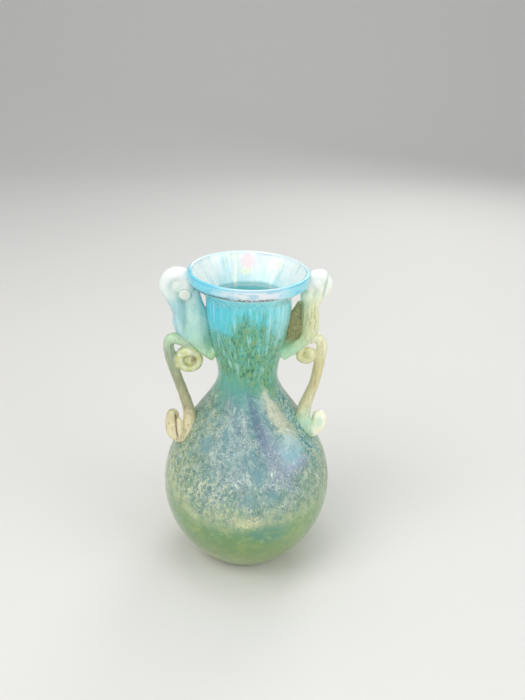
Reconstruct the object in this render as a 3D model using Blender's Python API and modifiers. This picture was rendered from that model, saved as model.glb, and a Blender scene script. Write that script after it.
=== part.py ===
"""A blown glass vase with a folded lip and two trailed handles, in metres with +Z up.

The vase stands on its flat base at the origin. The handles are at -X (left) and +X (right).
Each handle is an upper strap, which ends in a rolled loop at the lip, and a lower scroll, which
curls under the strap and ends in a hooked tail on the shoulder.
"""

import math

import bmesh
import bpy
import numpy as np

# Vessel, outer sizes
HEIGHT = 0.145
RIM_RADIUS = 0.026
NECK_RADIUS = 0.0187
WAIST_RADIUS = 0.0131
WAIST_HEIGHT = HEIGHT * 0.655
BELLY_RADIUS = 0.0396
BELLY_HEIGHT = 0.039
BASE_RADIUS = 0.0205

# Folded lip
FLARE_HEIGHT = 0.0125
LIP_BAND_HEIGHT = 0.0052
LIP_STEP = 0.0011
LIP_THICKNESS = 0.0018

# Walls
WALL = 0.002
BASE_THICKNESS = 0.0035

# How full the curves between the named radii are
SHOULDER_FULLNESS = 0.77
LOWER_BODY_FULLNESS = 2.2
FLARE_TURN = 1.7

# Handle trails
FOOT_HEIGHT = HEIGHT * 0.7276
TAIL_HEIGHT = HEIGHT * 0.5207
STRAP_THICKNESS = 0.0066
STRAP_OFFSET = 0.0004
RING_THICKNESS_SHARE = 1.5
SLIT_FOOT = HEIGHT * 0.8483
SLIT_WIDTH = 0.003
SCROLL_THICKNESS = 0.0048
SCROLL_FORWARD = 0.001
ARM_LEAN = 0.004
JOINT_GAP = 0.0003

# Each handle as it was trailed by hand. A run row is its share of the way out to full reach, its share
# of the way up to the loop, and its thickness. A swelling fills the loop, and a drum is its end, rolled
# up and seen end on: out and up from the loop's centre, radius, all in loop radii, and width as a share
# of the strap's. A spiral row is its angle, radius and thickness. The middle share is the size of the
# button in the curl.
# The rows below count in scroll thicknesses. A crest row is how far out and up it is from the strap's
# foot at full reach, and its thickness. An arm row is its share of the way up from the shoulder to the
# strap's foot, how far it bows out, and its thickness. A tail, tip or lobe row is out, across, up and
# thickness from where the arm meets the shoulder.
LEFT = {
    "side": -1,
    "reach": 0.0298,
    "strap_width": 0.0086,
    "web_width": 0.0084,
    "web_rise_share": 0.93,
    "loop_radius": 0.0046,
    "loop_drop": 0.0073,
    "curl_radius": 0.0044,
    "curl_inset": 0.0038,
    "curl_drop": 0.0032,
    "middle_share": 0.62,
    "drum_shares": (-0.76, -0.76, 0.6, 1.14),
    "run_shares": [
        (0, -0.03, 1),
        (0.2, 0.03, 0.9),
        (0.4, 0.16, 0.8),
        (0.62, 0.33, 0.8),
        (0.88, 0.53, 0.9),
        (1, 0.75, 1),
        (1, 1, 1),
    ],
    "swelling_shares": [
        (-0.15, 0.05, 0.72, 0.95),
    ],
    "spiral_shares": [
        (247, 1, 0.68),
        (290, 1.02, 0.78),
        (330, 1, 0.86),
        (370, 1.02, 0.94),
        (410, 1.08, 1),
        (455, 0.9, 1),
        (500, 0.6, 0.84),
    ],
    "crest_shares": [
        (-0.59, 0.92, 0.94),
        (0.22, 1.42, 1.08),
        (0.88, 1.38, 1.06),
        (1.13, 0.87, 1),
    ],
    "arm_shares": [
        (0.98, 1.08, 1.04),
        (0.78, 1.04, 1),
        (0.58, 0.9, 0.97),
        (0.35, 0.69, 1),
        (0.15, 0.52, 1.08),
        (0, 0.52, 1.2),
    ],
    "tail_shares": [
        (0.71, -1.54, -1.13, 1.18),
        (1.29, -1.92, -1.83, 1.12),
    ],
    "tip_shares": [
        (1.35, -1.83, -1.9, 1.1),
        (1.98, -1.64, -1.6, 1.24),
        (2.2, -1.3, -0.85, 1.3),
        (2.14, -1.05, -0.1, 1.26),
        (2, -0.95, 0.62, 1.16),
    ],
    "lobe_shares": [
        (1.3, -2, -1.7, 0.9),
        (1.4, -2, -1.1, 0.96),
        (1.42, -1.85, -0.55, 0.9),
        (1.5, -1.6, 0.1, 0.7),
    ],
}
RIGHT = {
    "side": 1,
    "reach": 0.0271,
    "strap_width": 0.0068,
    "web_width": 0.0032,
    "web_rise_share": 0.74,
    "loop_radius": 0.0037,
    "loop_drop": 0.0061,
    "curl_radius": 0.0026,
    "curl_inset": 0.0015,
    "curl_drop": 0.0002,
    "run_shares": [
        (0, -0.03, 1),
        (0.14, 0.03, 1),
        (0.47, 0.165, 1.06),
        (0.82, 0.34, 1.12),
        (0.99, 0.5, 1.18),
        (1, 0.67, 1.24),
        (0.98, 0.85, 1.24),
        (0.97, 1, 1.15),
    ],
    "swelling_shares": [
        (-0.25, 0.08, 0.9, 1.14),
        (-1.1, -1.68, 0.92, 0.96),
    ],
    "spiral_shares": [
        (247, 1, 0.68),
        (290, 1.02, 0.76),
        (330, 1.02, 0.86),
        (365, 1.08, 0.98),
        (410, 1.02, 0.98),
        (460, 0.8, 0.84),
    ],
    "crest_shares": [
        (-0.61, 1.05, 0.86),
        (0.04, 1.6, 0.98),
        (0.72, 1.72, 1.04),
        (1.17, 1.06, 1.02),
    ],
    "arm_shares": [
        (1, 1.13, 1.06),
        (0.8, 1.12, 1.02),
        (0.58, 1.04, 0.98),
        (0.35, 0.73, 1.08),
        (0.16, 0.42, 1.26),
        (0, 0.4, 1.38),
    ],
    "tail_shares": [
        (0.7, -1.06, -0.93, 1.36),
        (1.26, -1.26, -1.56, 1.2),
    ],
    "tip_shares": [
        (1.42, -1.1, -1.52, 1.12),
        (1.84, -0.93, -1.04, 1.4),
        (2, -0.72, -0.35, 1.46),
        (1.97, -0.5, 0.44, 1.34),
    ],
}

# Fineness
TURN_SEGMENTS = 36
PATH_STEPS = 2
WEB_STEPS = 4
RING_STEP_ANGLE = 30
TUBE_RESOLUTION = 2
CAP_WELD = 0.00001
END_SHARE = 0.3

COLLECTION_NAME = "glass_vase"


def clear_scene():
    for item in list(bpy.data.objects):
        bpy.data.objects.remove(item, do_unlink=True)


def new_collection(name):
    collection = bpy.data.collections.new(name)
    bpy.context.scene.collection.children.link(collection)
    return collection


def glass(name, colour, roughness):
    material = bpy.data.materials.new(name)
    material.use_nodes = True
    shader = material.node_tree.nodes["Principled BSDF"]
    shader.inputs["Base Color"].default_value = (*colour, 1)
    shader.inputs["Roughness"].default_value = roughness
    shader.inputs["Metallic"].default_value = 0
    return material


def mix(start, end, share):
    return start + (end - start) * share


def swell(share, fullness):
    """An S-shaped rise from 0 to 1, which comes sooner when the fullness is under 1."""
    return (1 - math.cos(math.pi * share**fullness)) / 2


def outer_profile():
    """The outside from the base's edge up to the underside of the lip, as (radius, height)."""
    neck_top = HEIGHT - FLARE_HEIGHT
    points = []
    for step in range(7):
        share = step / 7
        rise = 1 - (1 - share) ** LOWER_BODY_FULLNESS
        points.append((mix(BASE_RADIUS, BELLY_RADIUS, rise), BELLY_HEIGHT * share))
    for step in range(10):
        share = step / 10
        rise = swell(1 - share, SHOULDER_FULLNESS)
        points.append((mix(WAIST_RADIUS, BELLY_RADIUS, rise), mix(BELLY_HEIGHT, WAIST_HEIGHT, share)))
    for step in range(6):
        share = step / 6
        rise = swell(share, SHOULDER_FULLNESS)
        points.append((mix(WAIST_RADIUS, NECK_RADIUS, rise), mix(WAIST_HEIGHT, neck_top, share)))
    for step in range(4):
        share = step / 3
        out = mix(NECK_RADIUS, RIM_RADIUS - LIP_STEP, share**FLARE_TURN)
        points.append((out, mix(neck_top, HEIGHT - LIP_BAND_HEIGHT, share)))
    return points


def lip_profile():
    """The folded band, from its lower edge over the rounded top to its inner edge."""
    half = LIP_THICKNESS / 2
    points = [(RIM_RADIUS - LIP_STEP * 0.2, HEIGHT - LIP_BAND_HEIGHT + LIP_STEP * 0.4)]
    for step in range(7):
        angle = math.pi * step / 6
        points.append((RIM_RADIUS - half + half * math.cos(angle), HEIGHT - half + half * math.sin(angle)))
    return points


def offset_profile(points, distance):
    """The same line moved along its normals, outwards when the distance is positive."""
    line = np.array(points)
    along = np.gradient(line, axis=0)
    along /= np.linalg.norm(along, axis=1)[:, None]
    normals = np.stack([along[:, 1], -along[:, 0]], axis=1)
    return [tuple(point) for point in (line + normals * distance).tolist()]


def vessel_radius(height):
    """The wall's outer radius at a height below the lip."""
    points = outer_profile()
    return float(np.interp(height, [point[1] for point in points], [point[0] for point in points]))


def turned(name, points, collection):
    """A solid of revolution about Z from a profile that runs down its outer side."""
    mesh = bpy.data.meshes.new(name)
    edges = [(index, index + 1) for index in range(len(points) - 1)]
    mesh.from_pydata([(radius, 0, height) for radius, height in points], edges, [])
    item = bpy.data.objects.new(name, mesh)
    collection.objects.link(item)
    screw = item.modifiers.new("Turn", "SCREW")
    screw.axis = "Z"
    screw.angle = math.tau
    screw.steps = TURN_SEGMENTS
    screw.render_steps = TURN_SEGMENTS
    screw.use_merge_vertices = True
    screw.merge_threshold = 0.00005
    return item


def as_cutter(item):
    item.hide_render = True
    item.display_type = "WIRE"
    return item


def make_vessel(collection):
    outside = outer_profile()
    lip_inner_foot = HEIGHT - LIP_BAND_HEIGHT * 0.6
    inside = [
        point for point in offset_profile(outside, -WALL) if BASE_THICKNESS < point[1] < lip_inner_foot
    ]
    profile = [(0, BASE_THICKNESS), (inside[0][0] - WALL, BASE_THICKNESS)]
    profile += inside
    profile += reversed(lip_profile())
    profile += reversed(outside)
    profile.append((0, 0))
    vessel = turned("vessel", profile, collection)
    vessel.data.materials.append(glass("vessel_glass", (0.42, 0.72, 0.74), 0.25))
    return vessel


def make_vessel_clearance(collection):
    """The vessel's outside as a solid, larger by the gap that the handles keep to it."""
    outside = offset_profile(outer_profile() + lip_profile()[:4], JOINT_GAP)
    top = HEIGHT + JOINT_GAP
    profile = [(0, top), (outside[-1][0], top)]
    profile += reversed(outside)
    profile.append((0, outside[0][1]))
    return as_cutter(turned("vessel_clearance", profile, collection))


def smooth_path(rows):
    """Rows on a smooth curve through the given (out, across, up, thickness) rows."""
    rows = np.array(rows)
    rows = np.vstack([2 * rows[0] - rows[1], rows, 2 * rows[-1] - rows[-2]])
    path = []
    for index in range(1, len(rows) - 2):
        before, start, end, after = rows[index - 1 : index + 3]
        for step in range(PATH_STEPS):
            share = step / PATH_STEPS
            slope = end - before
            bend = 2 * before - 5 * start + 4 * end - after
            twist = 3 * start - before - 3 * end + after
            path.append(start + (slope * share + bend * share**2 + twist * share**3) / 2)
    path.append(rows[-2])
    return path


def rounded_end(path, length):
    """The path with its thickness drawn in along a quarter circle over its last stretch."""
    last = path[-1]
    before = path[-2]
    step = last - before
    step /= np.linalg.norm(step[:3])
    kept = [row for row in path if np.linalg.norm(row[:3] - last[:3]) > length]
    for share in (0, 0.4, 0.7, 0.9, 1):
        row = last - step * length * (1 - share)
        row[3] = last[3] * max(END_SHARE, math.sqrt(1 - share**2))
        kept.append(row)
    return kept


def ring(centre, radii, angles, thicknesses):
    """Rows round a part of a ring or a spiral; the angles count from straight out, turning up."""
    count = max(3, round(abs(angles[1] - angles[0]) / RING_STEP_ANGLE) + 1)
    rows = []
    for index in range(count):
        share = index / (count - 1)
        angle = math.radians(mix(*angles, share))
        radius = mix(*radii, share)
        out = centre[0] + radius * math.cos(angle)
        up = centre[2] + radius * math.sin(angle)
        rows.append((out, centre[1], up, mix(*thicknesses, share)))
    return rows


def ball(centre, radius):
    """Rows that make a tube into a ball."""
    rows = []
    for angle in (-70, -38, 0, 38, 70):
        turn = math.radians(angle)
        up = centre[2] + radius * math.sin(turn)
        rows.append(np.array((centre[0], centre[1], up, 2 * radius * math.cos(turn))))
    return rows


def drum(loop, out, up, loop_radius, radius_share, reach_across):
    """Rows of a short rod that runs across the strap, its ends a little rounded."""
    rows = []
    for share, thickness in ((-1, 0.7), (-0.92, 1), (0.92, 1), (1, 0.7)):
        place = (loop[0] + loop_radius * out, reach_across * share, loop[2] + loop_radius * up)
        rows.append(np.array((*place, 2 * loop_radius * radius_share * thickness)))
    return rows


def strap_pieces(hand):
    """The run with its loop, the loop's rolled end, the web, swellings and drum, as (path, width)."""
    foot_out = vessel_radius(FOOT_HEIGHT)
    reach = hand["reach"]
    thick = STRAP_THICKNESS
    loop_radius = hand["loop_radius"]
    loop = (RIM_RADIUS + loop_radius, 0, HEIGHT - hand["loop_drop"])
    loop_foot = loop[2] - loop_radius * 2.9
    run = []
    for out, rise, thickness in hand["run_shares"]:
        run.append((mix(foot_out, reach, out), 0, mix(FOOT_HEIGHT, loop_foot, rise), thick * thickness))
    run.append((mix(reach, loop[0] + loop_radius, 0.3), 0, loop[2] - loop_radius * 1.8, thick))
    ring_thick = min(thick, loop_radius * RING_THICKNESS_SHARE)
    run += ring(loop, (loop_radius, loop_radius), (-20, 160), (ring_thick, ring_thick))
    rolled_centre = (loop[0], -STRAP_OFFSET, loop[2])
    rolled_thick = (ring_thick * 0.88, ring_thick * 0.94)
    rolled = ring(rolled_centre, (loop_radius, loop_radius * 0.78), (137, 248), rolled_thick)
    web_foot = mix(FOOT_HEIGHT, loop_foot, 0.2)
    web_top = mix(FOOT_HEIGHT, loop[2], hand["web_rise_share"])
    web = []
    for step in range(WEB_STEPS + 1):
        share = step / WEB_STEPS
        up = mix(web_foot, web_top, share)
        slit = max(0, (up - SLIT_FOOT) / (web_top - SLIT_FOOT)) * SLIT_WIDTH
        inner = min(vessel_radius(up), NECK_RADIUS) + slit - JOINT_GAP
        outer = mix(foot_out, reach, min(1, 0.62 + share * 1.5)) - thick * 0.25
        web.append(((inner + outer) / 2, STRAP_OFFSET * 1.5, up, outer - inner))
    flatness = hand["strap_width"] / thick
    pieces = [
        (smooth_path(run), flatness),
        (rounded_end(smooth_path(rolled), thick / 2), flatness),
        (smooth_path(web), hand["web_width"] / (reach - NECK_RADIUS - thick * 0.3)),
    ]
    for out, up, radius, width in hand["swelling_shares"]:
        centre = (loop[0] + loop_radius * out, STRAP_OFFSET / 2, loop[2] + loop_radius * up)
        pieces.append((ball(centre, loop_radius * radius), width * flatness))
    if "drum_shares" in hand:
        out, up, radius, width = hand["drum_shares"]
        pieces.append((drum(loop, out, up, loop_radius, radius, hand["strap_width"] * width / 2), 1))
    return pieces


def scroll_pieces(hand):
    """The curl with the arm and tail, the spiral, the tip, and a middle and a lobe where given."""
    tail_out = vessel_radius(TAIL_HEIGHT)
    reach = hand["reach"]
    radius = hand["curl_radius"]
    curl = (reach - hand["curl_inset"], -SCROLL_FORWARD, FOOT_HEIGHT - hand["curl_drop"])
    thick = SCROLL_THICKNESS
    rows = ring(curl, (radius, radius), (270, 165), (thick * 0.76, thick * 0.64))
    for out, up, thickness in hand["crest_shares"]:
        rows.append((reach + out * thick, -SCROLL_FORWARD, FOOT_HEIGHT + up * thick, thick * thickness))
    for share, out, thickness in hand["arm_shares"]:
        up = mix(TAIL_HEIGHT, FOOT_HEIGHT, share)
        across = -SCROLL_FORWARD - ARM_LEAN * (1 - share) ** 3
        rows.append((mix(tail_out, reach, share) + out * thick, across, up, thick * thickness))
    foot = np.array((tail_out, 0, TAIL_HEIGHT, 0))
    rows += [foot + np.array(row) * thick for row in hand["tail_shares"]]
    tip = [foot + np.array(row) * thick for row in hand["tip_shares"]]
    spiral = []
    for angle, share, thickness in hand["spiral_shares"]:
        turn = math.radians(angle)
        out = curl[0] + radius * share * math.cos(turn)
        up = curl[2] + radius * share * math.sin(turn)
        spiral.append((out, curl[1] - STRAP_OFFSET, up, thick * thickness))
    pieces = [
        (rounded_end(smooth_path(rows), thick / 2), 1),
        (rounded_end(smooth_path(spiral), thick / 2), 1),
        (rounded_end(smooth_path(tip), thick / 2), 1),
    ]
    if "middle_share" in hand:
        middle = ball((curl[0], curl[1] + STRAP_OFFSET, curl[2]), radius * hand["middle_share"])
        pieces.append((middle, hand["middle_share"]))
    if "lobe_shares" in hand:
        lobe = [foot + np.array(row) * thick for row in hand["lobe_shares"]]
        pieces.append((rounded_end(smooth_path(lobe), thick / 3), 1))
    return pieces


def glass_trail(name, path, width, side, collection):
    """A tube along (out, across, up, thickness) rows, wider across than it is thick."""
    curve = bpy.data.curves.new(name, "CURVE")
    curve.dimensions = "3D"
    curve.bevel_depth = 1
    curve.bevel_resolution = TUBE_RESOLUTION
    curve.use_fill_caps = True
    spline = curve.splines.new("POLY")
    spline.points.add(len(path) - 1)
    for point, (out, across, up, thickness) in zip(spline.points, path):
        point.co = (side * out, across / width, up, 1)
        point.radius = thickness / 2
    item = bpy.data.objects.new(name, curve)
    item.scale = (1, width, 1)
    collection.objects.link(item)
    return as_mesh(item, collection)


def as_mesh(item, collection):
    """Replaces a curve object with its closed mesh at the same place."""
    bpy.context.view_layer.update()
    evaluated = item.evaluated_get(bpy.context.evaluated_depsgraph_get())
    mesh = bpy.data.meshes.new_from_object(evaluated)
    weld = bmesh.new()
    weld.from_mesh(mesh)
    bmesh.ops.remove_doubles(weld, verts=weld.verts, dist=CAP_WELD)
    bmesh.ops.recalc_face_normals(weld, faces=weld.faces)
    weld.to_mesh(mesh)
    weld.free()
    name = item.name
    solid = bpy.data.objects.new(f"{name}_solid", mesh)
    solid.matrix_world = item.matrix_world.copy()
    collection.objects.link(solid)
    bpy.data.objects.remove(item, do_unlink=True)
    solid.name = name
    return solid


def combine(item, other, operation):
    boolean = item.modifiers.new(operation.title(), "BOOLEAN")
    boolean.operation = operation
    boolean.solver = "EXACT"
    boolean.use_self = operation == "UNION"
    boolean.object = other


def fused(name, pieces, hand, collection, cutters):
    """One body from overlapping trails."""
    body = None
    for index, (path, width) in enumerate(pieces):
        if body is None:
            body = glass_trail(name, path, width, hand["side"], collection)
        else:
            other = glass_trail(f"{name}_join_{index}", path, width, hand["side"], cutters)
            combine(body, as_cutter(other), "UNION")
    return body


def grown(path):
    """The same path, thicker by the gap on every side."""
    return [np.array(row) + np.array([0, 0, 0, 2 * JOINT_GAP]) for row in path]


def make_handle(side_name, hand, vessel_clearance, collection, cutters, strap_colour, scroll_colour):
    strap = fused(f"{side_name}_handle_strap", strap_pieces(hand), hand, collection, cutters)
    combine(strap, vessel_clearance, "DIFFERENCE")
    scroll = fused(f"{side_name}_handle_scroll", scroll_pieces(hand), hand, collection, cutters)
    combine(scroll, vessel_clearance, "DIFFERENCE")
    for index, (path, width) in enumerate(strap_pieces(hand)):
        cutter_name = f"{side_name}_strap_clearance_{index}"
        cutter = glass_trail(cutter_name, grown(path), width, hand["side"], cutters)
        combine(scroll, as_cutter(cutter), "DIFFERENCE")
    strap.data.materials.append(glass(f"{side_name}_strap_glass", strap_colour, 0.2))
    scroll.data.materials.append(glass(f"{side_name}_scroll_glass", scroll_colour, 0.25))
    return strap, scroll


def shade(item):
    item.data.shade_smooth()
    item.data.set_sharp_from_angle(angle=math.radians(50))


def main():
    clear_scene()
    collection = new_collection(COLLECTION_NAME)
    cutters = new_collection(f"{COLLECTION_NAME}_cutters")
    vessel = make_vessel(collection)
    clearance = make_vessel_clearance(cutters)
    left = make_handle("left", LEFT, clearance, collection, cutters, (0.62, 0.78, 0.68), (0.6, 0.6, 0.5))
    right = make_handle("right", RIGHT, clearance, collection, cutters, (0.7, 0.76, 0.58), (0.78, 0.76, 0.6))
    for item in (vessel, *left, *right):
        shade(item)


main()
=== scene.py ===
import math

import bmesh
import bpy
import numpy as np
from mathutils import Matrix, Vector, noise


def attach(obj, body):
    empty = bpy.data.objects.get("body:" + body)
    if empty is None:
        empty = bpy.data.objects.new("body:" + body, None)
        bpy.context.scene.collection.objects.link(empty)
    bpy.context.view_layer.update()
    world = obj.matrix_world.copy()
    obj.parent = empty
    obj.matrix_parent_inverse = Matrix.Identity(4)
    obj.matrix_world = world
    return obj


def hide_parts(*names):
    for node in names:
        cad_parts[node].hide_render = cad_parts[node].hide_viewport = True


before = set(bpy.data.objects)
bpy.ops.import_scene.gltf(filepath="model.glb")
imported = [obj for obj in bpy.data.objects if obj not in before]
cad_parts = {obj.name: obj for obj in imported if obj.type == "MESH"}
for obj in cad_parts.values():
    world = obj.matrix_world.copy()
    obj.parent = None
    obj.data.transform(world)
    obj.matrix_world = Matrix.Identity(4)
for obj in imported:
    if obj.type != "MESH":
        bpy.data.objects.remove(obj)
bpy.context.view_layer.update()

print("frame loaded:", sorted(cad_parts))


# Colours are typed as they look on a screen, 0 to 255, and shaders need them linear.
def tint(red, green, blue):
    linear = []
    for part in (red, green, blue):
        share = part / 255
        linear.append(share / 12.92 if share <= 0.04045 else ((share + 0.055) / 1.055) ** 2.4)
    return (*linear, 1)


def between(start, end, share):
    return start + (end - start) * share


def easeStep(value, low, high):
    share = min(1, max(0, (value - low) / (high - low)))
    return share * share * (3 - 2 * share)


# A number socket that can be added, taken away, multiplied and so on.
class Wire:
    def __init__(self, tree, socket):
        self.tree = tree
        self.socket = socket

    def reckon(self, how, *values):
        step = self.tree.nodes.new("ShaderNodeMath")
        step.operation = how
        for slot, value in zip(step.inputs, values):
            if isinstance(value, Wire):
                self.tree.links.new(value.socket, slot)
            else:
                slot.default_value = value
        return Wire(self.tree, step.outputs[0])

    def __add__(self, other):
        return self.reckon("ADD", self, other)

    def __radd__(self, other):
        return self.reckon("ADD", other, self)

    def __sub__(self, other):
        return self.reckon("SUBTRACT", self, other)

    def __rsub__(self, other):
        return self.reckon("SUBTRACT", other, self)

    def __mul__(self, other):
        return self.reckon("MULTIPLY", self, other)

    def __rmul__(self, other):
        return self.reckon("MULTIPLY", other, self)

    def __truediv__(self, other):
        return self.reckon("DIVIDE", self, other)

    def __pow__(self, other):
        return self.reckon("POWER", self, other)

    def most(self, other):
        return self.reckon("MAXIMUM", self, other)


# One material and the few ways in which its nodes are made.
class Finish:
    def __init__(self, name, plain):
        self.material = bpy.data.materials.new(name)
        self.material.use_nodes = True
        self.tree = self.material.node_tree
        self.shader = self.tree.nodes["Principled BSDF"]
        for socket, value in plain.items():
            self.shader.inputs[socket].default_value = value
        middle = self.node("ShaderNodeTexCoord", out="Object")
        self.place = self.node("ShaderNodeVectorMath", {"operation": "SCALE"}, {0: middle, "Scale": 1000})
        axes = (self.node("ShaderNodeSeparateXYZ", {}, {0: self.place}, out=axis) for axis in range(3))
        self.x, self.y, self.z = axes

    def node(self, kind, settings=None, sockets=None, out=0):
        made = self.tree.nodes.new(kind)
        for name, value in (settings or {}).items():
            if name == "stops":
                self.fillRamp(made.color_ramp, value)
            else:
                setattr(made, name, value)
        for name, value in (sockets or {}).items():
            if isinstance(value, Wire):
                self.tree.links.new(value.socket, made.inputs[name])
            else:
                made.inputs[name].default_value = value
        return Wire(self.tree, made.outputs[out])

    def fillRamp(self, ramp, stops):
        while len(ramp.elements) < len(stops):
            ramp.elements.new(1)
        for element, (share, colour) in zip(ramp.elements, stops):
            element.position = share
            element.color = tint(*colour)

    def feed(self, name, value):
        self.tree.links.new(value.socket, self.shader.inputs[name])

    def span(self, value, low, high):  # 0 below low and 1 above high, eased
        sockets = {"Value": value, "From Min": low, "From Max": high}
        return self.node("ShaderNodeMapRange", {"interpolation_type": "SMOOTHSTEP"}, sockets)

    def zone(self, value, low, high, soft):  # 1 between low and high
        return self.span(value, low - soft, low + soft) * (1 - self.span(value, high - soft, high + soft))

    def blend(self, first, second, share):  # of two colours, typed or linked
        first, second = (tint(*part) if isinstance(part, tuple) else part for part in (first, second))
        return self.node("ShaderNodeMix", {"data_type": "RGBA"}, {0: share, 6: first, 7: second}, out=2)

    def lay(self, colour, share):  # one more colour over the ground so far
        self.ground = self.blend(self.ground, colour, share)

    def ramp(self, value, *stops):
        return self.node("ShaderNodeValToRGB", {"stops": stops}, {"Fac": value})

    def stretched(self, across, up, shift):  # the place, scaled to make grain finer or drawn out
        sockets = {0: self.place, 1: (across, across, up), 2: (shift, shift, shift)}
        return self.node("ShaderNodeVectorMath", {"operation": "MULTIPLY_ADD"}, sockets)

    def cloud(self, across, up=None, detail=3, rough=0.55, shift=0, bent=0):
        spot = self.stretched(across, across if up is None else up, shift)
        sockets = {"Vector": spot, "Scale": 1, "Detail": detail, "Roughness": rough, "Distortion": bent}
        return self.node("ShaderNodeTexNoise", {}, sockets)

    def web(self, across, up, bend, shift):  # distance to the nearest edge of bent cells
        spot = self.stretched(across, up, shift)
        sway = self.node("ShaderNodeTexNoise", {}, {"Vector": spot, "Scale": 1.3, "Detail": 3}, out="Color")
        sockets = {0: sway, 1: (bend, bend, bend), 2: spot}
        bent = self.node("ShaderNodeVectorMath", {"operation": "MULTIPLY_ADD"}, sockets)
        settings = {"feature": "DISTANCE_TO_EDGE"}
        return self.node("ShaderNodeTexVoronoi", settings, {"Vector": bent, "Scale": 1})

    def angle(self):  # degrees round from the front, to the right
        turn = self.x.reckon("ARCTAN2", self.x, self.y * -1)
        return turn * math.degrees(1)

    def patch(self, turn, up, centre, size, ragged=0.0, slant=0.0):
        # an oval on the surface: centre in degrees and mm, size in mm
        angle, height = centre
        wide, tall = size
        radius = vesselOutline(height / 1000) * 1000
        rise = up - height
        out = (turn - angle) * (math.radians(1) * radius) - rise * slant
        far = ((out / wide) ** 2 + (rise / tall) ** 2) ** 0.5
        if ragged:
            far = far + (self.cloud(0.4, detail=6, rough=0.68, shift=angle) - 0.5) * ragged * 1.6
        return 1 - self.span(far, 0.45, 1.2)

    def away(self, centre, size=(1, 1), sway=0):  # how many sizes off a centre, seen from the front
        across = (self.x + sway - centre[0]) / size[0]
        return (across**2 + ((self.z - centre[1]) / size[1]) ** 2) ** 0.5

    def disc(self, centre, radius):  # a round patch seen from the front
        return 1 - self.span(self.away(centre), radius * 0.8, radius * 1.1)

    def bump(self, height, depth):  # depth in metres for a height of one
        sockets = {"Strength": 1, "Distance": depth, "Height": height}
        self.feed("Normal", self.node("ShaderNodeBump", {}, sockets))

    def finished(self, rough, coat, relief, depth):
        self.feed("Base Color", self.ground)
        self.feed("Roughness", rough)
        self.feed("Coat Weight", coat)
        self.bump(relief, depth)
        return self.material


# Vessel

vesselValues = {
    "height": 0.145,
    "rimRadius": 0.026,
    "neckRadius": 0.0187,
    "waistRadius": 0.0131,
    "waistShare": 0.655,  # of the height, as for the shares below
    "bellyRadius": 0.0396,
    "bellyHeight": 0.039,
    "baseRadius": 0.0205,
    "flareHeight": 0.0125,
    "lipBand": 0.0052,
    "lipStep": 0.0011,
    "lipThickness": 0.0018,
    "wall": 0.002,
    "floorThickness": 0.0035,
    "footShare": 0.7276,
    "tailShare": 0.5207,
    "slitShare": 0.8483,
    "shoulderFullness": 0.77,
    "lowerFullness": 2.2,
    "flareTurn": 1.7,
    "outlineSteps": (44, 60, 44, 14),  # lower body, shoulder, neck and flare
    "segments": 256,
    "waistSoft": 0.0028,
    "waistReach": 0.011,  # how far from the waist the softening is felt
    "bowlDepth": 0.0115,
    "bowlSteps": 14,
    "rimTilt": 0.9,  # degrees, the right side lower
    "tiltReach": 0.03,  # below the rim
    "wobble": 0.00022,
    "ribDepth": 0.00016,
    "ribCount": 5.5,
    "ribFoot": (0.098, 0.112),
    "ribTop": (0.1385, 0.1415),
}


def swell(share, fullness):
    return (1 - math.cos(math.pi * share**fullness)) / 2


def outerLine():
    v = vesselValues
    waistUp = v["height"] * v["waistShare"]
    neckTop = v["height"] - v["flareHeight"]
    lipFoot = v["height"] - v["lipBand"]
    lower, shoulder, neck, flare = v["outlineSteps"]
    line = []
    for step in range(lower):
        share = step / lower
        out = between(v["baseRadius"], v["bellyRadius"], 1 - (1 - share) ** v["lowerFullness"])
        line.append((out, v["bellyHeight"] * share))
    for step in range(shoulder):
        share = step / shoulder
        out = between(v["waistRadius"], v["bellyRadius"], swell(1 - share, v["shoulderFullness"]))
        line.append((out, between(v["bellyHeight"], waistUp, share)))
    for step in range(neck):
        share = step / neck
        out = between(v["waistRadius"], v["neckRadius"], swell(share, v["shoulderFullness"]))
        line.append((out, between(waistUp, neckTop, share)))
    for step in range(flare + 1):
        share = step / flare
        out = between(v["neckRadius"], v["rimRadius"] - v["lipStep"], share ** v["flareTurn"])
        line.append((out, between(neckTop, lipFoot, share)))
    return line


def softenedWaist(line):  # the turn at the waist, rounded off a little more
    v = vesselValues
    waistUp = v["height"] * v["waistShare"]
    heights = np.array([up for out, up in line])
    radii = np.array([out for out, up in line])
    softened = []
    for out, up in line:
        weights = np.exp(-(((heights - up) / v["waistSoft"]) ** 2) / 2) * np.gradient(heights)
        near = math.exp(-(((up - waistUp) / v["waistReach"]) ** 2))
        softened.append((between(out, float((radii * weights).sum() / weights.sum()), near), up))
    return softened


outerSteps = softenedWaist(outerLine())
outerHeights = [up for out, up in outerSteps]
outerRadii = [out for out, up in outerSteps]


def vesselOutline(up):
    return float(np.interp(up, outerHeights, outerRadii))


def offsetLine(line, distance):
    points = np.array(line)
    along = np.gradient(points, axis=0)
    along /= np.linalg.norm(along, axis=1)[:, None]
    return points + np.stack([along[:, 1], -along[:, 0]], axis=1) * distance


def lipLine():
    v = vesselValues
    half = v["lipThickness"] / 2
    top = v["height"]
    foot = top - v["lipBand"]
    rim = v["rimRadius"]
    line = [
        (rim - v["lipStep"] * 0.95, foot + v["lipStep"] * 0.1),
        (rim - v["lipStep"] * 0.45, foot + v["lipStep"] * 0.2),
        (rim - v["lipStep"] * 0.12, foot + v["lipStep"] * 0.55),
        (rim, foot + v["lipStep"] * 1.2),
    ]
    for step in range(15):
        angle = math.pi * step / 14
        line.append((rim - half + half * math.cos(angle), top - half + half * math.sin(angle)))
    return line


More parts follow.
